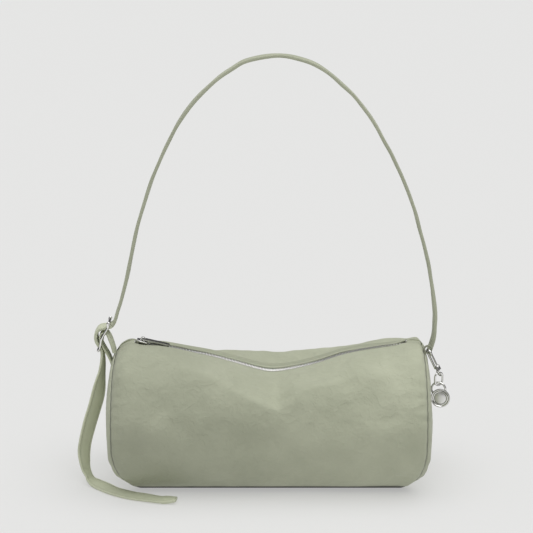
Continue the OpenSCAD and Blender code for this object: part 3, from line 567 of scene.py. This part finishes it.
zip_metal = metal_material("zip_nickel", (0.90, 0.895, 0.88), 0.16, 0.16)
pull_metal = metal_material("pull_nickel", (0.52, 0.52, 0.50), 0.24, 0.16)
TOOTH_PITCH, TOOTH_L, TOOTH_H, TOOTH_IN, TOOTH_OUT = 2.6, 1.35, 2.808, 1.2, 1.5
TEETH_X0, TEETH_N, SIDES = -116.5, 93, 8
turn = np.radians(22.5 + 45.0 * np.arange(SIDES))
section = np.stack([np.cos(turn) * TOOTH_L / 2, np.sin(turn) * TOOTH_H / 2], axis=1)
# each tooth: the section at four places from its root to its rounded tip, with its share of the size
across_at = np.array([TOOTH_OUT, 0.0, -0.75 * TOOTH_IN, -TOOTH_IN])
share_at = np.array([1.0, 1.0, 0.92, 0.6])[None, :, None, None]
caps = [list(range(SIDES))[::-1], list(range(3 * SIDES, 4 * SIDES))]
one = grid_faces(len(across_at), SIDES, round_cols=True).tolist() + caps
for side, word in ((-1, "front"), (1, "back")):
    x = TEETH_X0 + TOOTH_PITCH * (np.arange(TEETH_N) + (0.75 if side > 0 else 0.25))
    beyond = np.concatenate([np.linspace(-130, -120, 8), x, np.linspace(126, 134, 8)])
    middle, ahead, across, up = (v[8:-8, None, None] for v in chain_place(beyond))
    points = middle + across * (across_at * side)[None, :, None, None]
    points = points + share_at * (section[:, 0:1] * ahead + section[:, 1:2] * up)
    every = [[v + 4 * SIDES * k for v in f] for k in range(TEETH_N) for f in one]
    row = link_mesh("zip_tooth_row_" + word, points, every, smooth=False)
    face_outwards(row.data)
    row.data.materials.append(zip_metal)
    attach(row, "bag")
    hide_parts("zip_teeth_" + word)

# Zip end tabs: short folded pieces of the nylon sewn across the slot past each end of the chain.
TAB_HALF, TAB_RISE, TAB_T = 6.4, 1.8, 1.1
for x0, x1, word in ((-138.6, -125.5, "left"), (125.6, 138.6, "right")):
    x = np.linspace(x0, x1, 14)
    beyond = np.concatenate([np.linspace(x0 - 6, x0, 7)[:-1], x, np.linspace(x1, x1 + 6, 7)[1:]])
    middle, ahead, across, up = (v[6:-6, None] for v in chain_place(beyond))
    reach = np.linspace(-TAB_HALF, TAB_HALF, 12)
    rise = TAB_RISE + 0.3 * np.cos(reach / TAB_HALF * np.pi / 2)
    skin = middle + across * reach[None, :, None] + rise[None, :, None] * up
    skin[..., 2] -= corner_dip(SEAM_HALF - np.abs(x), x < 0)[:, None]
    skin[..., 0] *= seam_x(skin[..., 2], word == "left") / SEAM_HALF
    tab = link_mesh("zip_end_tab_" + word, skin, grid_faces(len(x), len(reach)))
    wall(tab, TAB_T)
    tab.data.materials.append(nylon)
    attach(tab, "bag")
    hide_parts("zip_tab_" + word)


# Metal fittings: the zip's stops, slider and pull, the buckle, the clasp with its sprung gate, the
# links and the disc, cast or bent and plated, with their sharp edges eased.
def eased_copy(node, material, radius, raised=0.0):
    """A CAD node's mesh, merged, in a piece of its own with its sharp edges rounded by a small bevel."""
    work = bmesh.new()
    work.from_mesh(frame["nodes"][node].data)
    bmesh.ops.remove_doubles(work, verts=work.verts, dist=2e-6)
    bmesh.ops.dissolve_limit(work, angle_limit=math.radians(0.5), verts=work.verts, edges=work.edges)
    mesh = bpy.data.meshes.new(node + "_plated")
    bmesh.ops.translate(work, verts=work.verts, vec=(0.0, 0.0, raised * MM))
    work.to_mesh(mesh)
    work.free()
    mesh.polygons.foreach_set("use_smooth", np.full(len(mesh.polygons), True))
    piece = bpy.data.objects.new(node + "_plated", mesh)
    bpy.context.scene.collection.objects.link(piece)
    mesh.materials.clear()
    mesh.materials.append(material)
    bevel = piece.modifiers.new("eased_edges", "BEVEL")
    bevel.width = radius * MM
    bevel.segments = 2
    bevel.limit_method = "ANGLE"
    bevel.angle_limit = math.radians(35.0)
    mesh.set_sharp_from_angle(angle=math.radians(60.0))
    for name, nodes in frame["record"]["behaviour"]["bodies"].items():
        if node in nodes:
            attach(piece, name)
    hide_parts(node)


nickel = metal_material("polished_nickel", (0.90, 0.895, 0.88), 0.10, 0.14)
SLIDER_RAISED = 2.4
for node, metal, radius, raised in (("zip_top_stops", zip_metal, 0.2, 1.2),
                                    ("zip_bottom_stop", zip_metal, 0.3, 1.0),
                                    ("slider_body", zip_metal, 0.25, SLIDER_RAISED),
                                    ("pull_tab", pull_metal, 0.22, SLIDER_RAISED)):
    eased_copy(node, metal, radius, raised)
for node, radius in (("clasp_body", 0.15), ("clasp_gate", 0.12), ("oval_link", 0.1), ("round_ring", 0.1)):
    eased_copy(node, nickel, radius)


# Shoulder strap: a long strip of the nylon folded to four layers and stitched along both edges. Its right
# end is sewn to the round end, and its left end runs through the buckle and hangs down as the tail.
STRAP_W, STRAP_T, SECTION_N, SQUARENESS = 16.0, 3.3, 32, 0.4
STITCH_IN, STITCH_PITCH = 2.6, 2.8
ACROSS_BAG = np.array([0.0, 1.0, 0.0])


def in_plane(knots, y=0.0):
    """The knots (x, z) set in the upright plane at y."""
    return np.array([(x, y, z) for x, z in knots])


def along_curve(knots, count):
    """A Catmull-Rom line through knots of any width, resampled to count places evenly spaced by length."""
    p = np.asarray(knots, dtype=float)
    after = 2 * p[-1] - p[-2]
    a, b = np.vstack([2 * p[0] - p[1], p[:-1]]), p
    c, d = np.vstack([p[1:], after]), np.vstack([p[2:], after, 3 * p[-1] - 2 * p[-2]])
    t = np.linspace(0, 1, 24, endpoint=False)[None, :, None]
    a, b, c, d = (v[:-1, None] for v in (a, b, c, d))
    square, cube = 2 * a - 5 * b + 4 * c - d, 3 * b - a - 3 * c + d
    fine = 0.5 * (2 * b + (c - a) * t + square * t ** 2 + cube * t ** 3)
    fine = np.vstack([fine.reshape(-1, p.shape[1]), p[-1:]])
    run = np.concatenate([[0.0], np.cumsum(np.linalg.norm(np.diff(fine[:, :3], axis=0), axis=1))])
    at = np.linspace(0.0, run[-1], count)
    return np.stack([np.interp(at, run, fine[:, k]) for k in range(p.shape[1])], axis=1), at


def folded_strap(name, centre, across, at, wide, thick, seed, rough=0.22):
    """A flat strip along centre: a rounded section, swollen a little at its two folded edges and
    drawn in along the two rows of stitches, with a slow waver; UV is (length, distance from the middle)."""
    rows = len(centre)
    ahead = unit(np.gradient(centre, axis=0))
    across = unit(across - ahead * np.sum(across * ahead, axis=1, keepdims=True))
    up = np.cross(ahead, across)[:, None]
    turn = np.linspace(0.0, 2 * np.pi, SECTION_N, endpoint=False)
    width = np.sign(np.cos(turn)) * np.abs(np.cos(turn)) ** SQUARENESS * wide / 2
    height = np.sign(np.sin(turn)) * np.abs(np.sin(turn)) ** SQUARENESS / 2
    stitched = 1.0 - 0.22 * np.exp(-((np.abs(width) - (wide / 2 - STITCH_IN)) / 0.7) ** 2)
    swell = 0.94 + 0.06 * (np.abs(width) / (wide / 2)) ** 2
    height = (height * stitched * swell)[None, :, None] * np.reshape(thick * np.ones(rows), (-1, 1, 1))
    points = centre[:, None] + across[:, None] * width[None, :, None] + up * height
    waver = rough * crumple(points, seed, 26.0) * ease(np.minimum(at, at[-1] - at) / 12.0)[:, None]
    faces = grid_faces(rows, SECTION_N, round_cols=True)[:, ::-1].tolist()
    ends = [list(range(SECTION_N)), list(range(rows * SECTION_N - 1, (rows - 1) * SECTION_N - 1, -1))]
    return link_mesh(name, points + up * waver[..., None], faces + ends,
                     np.stack(np.broadcast_arrays(at[:, None], width[None]), axis=-1),
                     np.arange(len(faces) + 2) < len(faces))


stitches, stitches_in, stitches_out = new_group(
    "stitch_rows", (("Edge", "NodeSocketFloat", 10.0), ("Inset", "NodeSocketFloat", 2.4)),
    (("Stitch", "NodeSocketFloat"), ("Channel", "NodeSocketFloat")))
sn, sl = stitches.nodes, stitches.links
parts = sn.new("ShaderNodeSeparateXYZ")
sl.new(sn.new("ShaderNodeTexCoord").outputs["UV"], parts.inputs[0])
across_mm = math_node(sn, sl, "ABSOLUTE", math_node(sn, sl, "MULTIPLY", parts.outputs["Y"], 1000.0))
from_edge = math_node(sn, sl, "SUBTRACT", stitches_in.outputs["Edge"], across_mm)
off_row = math_node(sn, sl, "SUBTRACT", from_edge, stitches_in.outputs["Inset"])
off_row = math_node(sn, sl, "ABSOLUTE", off_row)
channel = math_node(sn, sl, "SUBTRACT", 1.0, math_node(sn, sl, "MULTIPLY", off_row, 1.6))
on_row = math_node(sn, sl, "LESS_THAN", off_row, 0.22)
dash = math_node(sn, sl, "MULTIPLY", parts.outputs["X"], 1000.0 / STITCH_PITCH)
dash = math_node(sn, sl, "FRACT", dash, 0.0)
stitch = math_node(sn, sl, "MULTIPLY", on_row, math_node(sn, sl, "LESS_THAN", dash, 0.72))
sl.new(stitch, stitches_out.inputs["Stitch"])
sl.new(math_node(sn, sl, "MAXIMUM", channel, 0.0), stitches_out.inputs["Channel"])


def strap_material(name, share, inset):
    """The straps' nylon, its colours times share, which lightens or shades a copy as painted light, with
    finer crinkles and a row of stitches at each edge.
    """
    colors = [[share * c for c in color] for color in NYLON_COLORS]
    mat = cloth_material(name, colors, 0.45, 1.2, 0.72, 1.0)
    nodes, links = mat.node_tree.nodes, mat.node_tree.links
    rows = nodes.new("ShaderNodeGroup")
    rows.node_tree = stitches
    rows.inputs["Edge"].default_value = STRAP_W / 2
    rows.inputs["Inset"].default_value = inset
    bump = next(n for n in nodes if n.type == "BUMP")
    cloth = next(n for n in nodes if n.type == "GROUP" and n.node_tree == crinkle)
    sunk = math_node(nodes, links, "MULTIPLY", rows.outputs["Channel"], 0.35)
    lowered = math_node(nodes, links, "SUBTRACT", cloth.outputs["Height"], sunk)
    proud = math_node(nodes, links, "MULTIPLY", rows.outputs["Stitch"], 0.35)
    links.new(math_node(nodes, links, "ADD", lowered, proud), bump.inputs["Height"])
    ramp = next(n for n in nodes if n.type == "VALTORGB")
    thread = nodes.new("ShaderNodeMix")
    thread.data_type = "RGBA"
    thread.inputs["B"].default_value = (*(0.86 * c for c in colors[1]), 1.0)
    links.new(ramp.outputs["Color"], thread.inputs["A"])
    links.new(rows.outputs["Stitch"], thread.inputs["Factor"])
    links.new(thread.outputs["Result"], nodes["Principled BSDF"].inputs["Base Color"])
    return mat


# painted light: the strap's nylon is shaded to 0.98 times, the tail's and anchor loop's lightened to 1.32
# times the panel's colours
strap_cloth = strap_material("folded_strap_nylon", 0.98, 2.4)
tail_cloth_painted_light = strap_material("folded_tail_nylon", 1.32, 2.4)
strap_knots = ((-143.4, 145.7), (-141.2, 147.6), (-139.4, 151.4), (-136.9, 159.6), (-133.9, 169),
               (-129, 187.6), (-125, 206.2), (-121.1, 224.7), (-116.3, 243), (-110.6, 261.3),
               (-104.5, 279.5), (-97.1, 297.5), (-88.4, 315.5), (-78.4, 333.4), (-65, 351.2),
               (-46.8, 368.9), (-33, 378.6), (-19.4, 386), (5.2, 390.2), (27.1, 387.4), (44.7, 380.1),
               (62.4, 366.6), (80.3, 348.6), (98.3, 322), (116.7, 286.5), (127.5, 260.3),
               (135.6, 233.9), (143, 206.2), (146.5, 187.6), (149.5, 169), (150.8, 155), (150.8, 147),
               (150.7, 140), (149.9, 134), (148.3, 128), (146.8, 123), (146.0, 118.5))
line, at = along_curve(in_plane(strap_knots), 420)
strap = folded_strap("stitched_shoulder_strap", line, ACROSS_BAG, at, STRAP_W, STRAP_T, 51)
strap.data.materials.append(strap_cloth)
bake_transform(strap)
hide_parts("shoulder_strap", "strap_base")

# Wrap and tail: the same strap past the buckle. It goes over the middle bar and the anchor loop, and its
# free length hangs to the floor, turns and lies along it, ending in a folded, stitched hem. The knots are
# places down its middle and the angle its width has turned about the upright, from the bag's length.
wrap_knots = ((-141.8, 0, 146.6, 90), (-144.4, 0, 145.1, 90), (-148.6, 0, 144.3, 90),
              (-153.7, 0, 143.2, 90), (-156.9, 0, 139.5, 90), (-157.7, 0, 135, 90),
              (-157, 0, 131.2, 90), (-155.1, 0, 127.9, 90), (-152.9, 0, 124.7, 90),
              (-152.1, 0, 121.5, 90), (-151.7, -0.6, 117, 87), (-151.9, -1.8, 110, 81),
              (-152.6, -3.4, 103.5, 75), (-153.4, -4.5, 99, 69), (-154.2, -5.8, 94.5, 63),
              (-155.6, -8, 86, 51), (-157.4, -9.6, 78, 45), (-160.2, -11, 68.3, 43),
              (-163.1, -12, 59, 43), (-165.8, -12, 49.4, 45), (-168, -12, 40.1, 48),
              (-169.6, -12, 30.5, 52), (-169.7, -13, 21.1, 62), (-168.2, -15, 12, 75),
              (-164.2, -18.5, 5.6, 88), (-159.3, -23, 3, 82), (-154.2, -29, 2.2, 70),
              (-149.1, -34.5, 2, 60), (-144.2, -40.1, 1.9, 54), (-139.3, -44.5, 1.9, 50),
              (-134.5, -48.2, 1.9, 46), (-125, -54.2, 1.9, 40), (-115.7, -58.4, 1.9, 34),
              (-106.4, -62.6, 1.9, 30), (-97.2, -65.5, 2, 26), (-88.5, -66.5, 2.2, 24),
              (-82.5, -66.8, 2.6, 22))
line, at = along_curve(wrap_knots, 300)
turn = np.radians(line[:, 3])
left = at[-1] - at
hem = 1.1 * ease((13.0 - left) / 1.5) - 1.4 * ease((2.0 - left) / 2.0)
thick = STRAP_T - 0.9 * ease((at - 20.0) / 30.0) + hem
across = np.stack([np.cos(turn), np.sin(turn), 0 * turn], axis=1)
tail = folded_strap("strap_wrap_and_tail", line[:, :3], across, at, STRAP_W, thick, 77)
tail.data.materials.append(tail_cloth_painted_light)
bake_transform(tail)
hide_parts("strap_wrap", "strap_tail")

# Anchor loop: a short folded strip round the buckle's middle bar, its two legs sewn flat to the left end.
loop_knots = ((-143.4, 109.5), (-144.4, 113), (-146.4, 118), (-149.2, 123), (-151.9, 128),
              (-153.6, 132.4), (-153.7, 136.2), (-152.2, 138.8), (-149.6, 139.6), (-147.2, 138.4),
              (-145.4, 135), (-143.9, 131), (-142.5, 126.5), (-141.0, 121.0))
line, at = along_curve(in_plane(loop_knots), 90)
loop = folded_strap("anchor_loop_strip", line, ACROSS_BAG, at, STRAP_W - 0.6,
                    1.7 + 1.5 * ease((at - 34.0) / 10.0), 61, 0.08)
loop.data.materials.append(tail_cloth_painted_light)
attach(loop, "bag")
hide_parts("anchor_loop")

# Buckle: two bent rails of rounded bar joined by three crossbars, cast in one piece and plated.
RAIL_Y, RAIL_R, BAR_R = 9.7, 1.15, 1.2
rail_knots = ((-143.6, 149.5), (-145.1, 150.0), (-146.0, 148.6), (-145.8, 145.6), (-147.6, 142.4),
              (-149.8, 138.7), (-151.5, 135.4), (-152.4, 132.0), (-152.9, 128.8), (-154.0, 125.6),
              (-155.7, 122.7))
bar_places = ((-145.4, 148.2), (-151.3, 135.5), (-155.4, 123.6))


def round_bar(centre, side, radius, sides=14):
    """Points and faces of a closed rounded bar along centre: circles of the given radii about it."""
    turn = np.linspace(0, 2 * np.pi, sides, endpoint=False)
    side = np.broadcast_to(side, centre.shape)
    up = np.cross(unit(np.gradient(centre, axis=0)), side)
    ring = side[:, None] * np.cos(turn)[None, :, None] + up[:, None] * np.sin(turn)[None, :, None]
    faces = grid_faces(len(centre), sides, round_cols=True)[:, ::-1].tolist()
    ends = [list(range(sides)), list(range(len(centre) * sides - 1, (len(centre) - 1) * sides - 1, -1))]
    return (centre[:, None] + np.reshape(radius, (-1, 1, 1)) * ring).reshape(-1, 3), faces + ends


bars = []
for side_y in (-RAIL_Y, RAIL_Y):
    line, at = along_curve(in_plane(rail_knots, side_y), 60)
    end_ease = np.sqrt(np.clip(np.minimum(at, at[-1] - at), 0.05, 1.0))
    bars.append(round_bar(line, ACROSS_BAG, RAIL_R * end_ease))
for x, z in bar_places:
    line = np.stack([np.full(12, x), np.linspace(-RAIL_Y, RAIL_Y, 12), np.full(12, z)], axis=1)
    bars.append(round_bar(line, (1.0, 0.0, 0.0), BAR_R))
verts, faces = np.empty((0, 3)), []
for points, bar_faces in bars:
    faces += [[v + len(verts) for v in f] for f in bar_faces]
    verts = np.concatenate([verts, points])
buckle = link_mesh("bent_rail_buckle", verts, faces, smooth=[len(f) == 4 for f in faces])
buckle.data.materials.append(nickel)
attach(buckle, "bag")
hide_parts("tri_glide")

# Disc: a struck round medallion with a raised double rim and a soft dome, on a wire eye behind it.
DISC_EYE, DISC_TURN, DISC_SIDE, DISC_UNDER = (153.821, -18.2, 83.141), math.radians(-10.0), 2.0, 0.4
EYE_R, EYE_WIRE, DISC_SIDES = 2.4, 0.6, 72
# section from the middle of the face over the two rims to the back: distance from the centre, height
profile = np.array([(0.02, 1.75), (2.4, 1.7), (4.2, 1.5), (5.2, 1.15), (5.7, 1.05), (6.1, 1.3), (6.5, 1.35),
                    (6.8, 1.05), (7.1, 1.05), (7.4, 1.6), (7.9, 1.85), (8.35, 1.75), (8.6, 1.4), (8.65, 0.9),
                    (8.6, 0.4), (8.35, 0.08), (7.8, 0.0), (0.02, 0.0)])
FACE_ROWS, GROOVE_ROWS = (0, 1, 2), (3, 7, 11, 12, 13)
turn = np.linspace(0, 2 * np.pi, DISC_SIDES, endpoint=False)
coin = np.stack([profile[:, 0:1] * np.cos(turn) + DISC_SIDE, -EYE_R - profile[:, 1:2] * np.ones(DISC_SIDES),
                 profile[:, 0:1] * np.sin(turn) - DISC_UNDER], axis=-1).reshape(-1, 3)
faces = grid_faces(len(profile), DISC_SIDES, round_cols=True).tolist()
faces += [list(range(DISC_SIDES)), list(range(len(coin) - DISC_SIDES, len(coin)))]
tube_u, tube_v = np.meshgrid(np.linspace(0, 2 * np.pi, 32, endpoint=False),
                             np.linspace(0, 2 * np.pi, 10, endpoint=False), indexing="ij")
eye_r = EYE_R + EYE_WIRE * np.cos(tube_v)
eye = np.stack([EYE_WIRE * np.sin(tube_v), eye_r * np.cos(tube_u), eye_r * np.sin(tube_u)], axis=-1)
faces += (grid_faces(32, 10, True, True) + len(coin)).tolist()
x, y, z = np.concatenate([coin, eye.reshape(-1, 3)]).T
c, s = math.cos(DISC_TURN), math.sin(DISC_TURN)
both = np.stack([x * c - y * s, x * s + y * c, z], axis=1) + DISC_EYE
disc = link_mesh("struck_charm_disc", both, faces, smooth=[len(f) == 4 for f in faces])
face_outwards(disc.data)
for metal in (nickel, metal_material("struck_groove", (0.20, 0.20, 0.19), 0.4, 0.1),
              metal_material("struck_face", (0.88, 0.875, 0.86), 0.36, 0.06)):
    disc.data.materials.append(metal)
row_of = np.minimum(np.arange(len(faces)) // DISC_SIDES, len(profile))
metal_of = np.isin(row_of, GROOVE_ROWS) + 2 * np.isin(row_of, FACE_ROWS)
disc.data.polygons.foreach_set("material_index", metal_of)
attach(disc, "disc")
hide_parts("charm_disc")

# Charm loop: a narrow folded strip caught in the right end seam at the top corner, which holds the clasp.
CHARM_LOOP_R = 3.25
low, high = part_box("charm_loop")
mid = (np.array(low) + np.array(high)) / 2 / MM
turn = np.linspace(0, 2 * np.pi, 73)
line = mid + CHARM_LOOP_R * np.stack([np.cos(turn), 0 * turn, np.sin(turn)], axis=1)
charm_tab = folded_strap("charm_loop_strip", line, ACROSS_BAG, turn * CHARM_LOOP_R, 3.0, 1.3, 5, 0.0)
# painted shade: the charm loop's nylon is darkened to 0.6 times the panel's colours
charm_tab.data.materials.append(strap_material("charm_loop_nylon", 0.6, 0.8))
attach(charm_tab, "bag")
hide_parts("charm_loop")
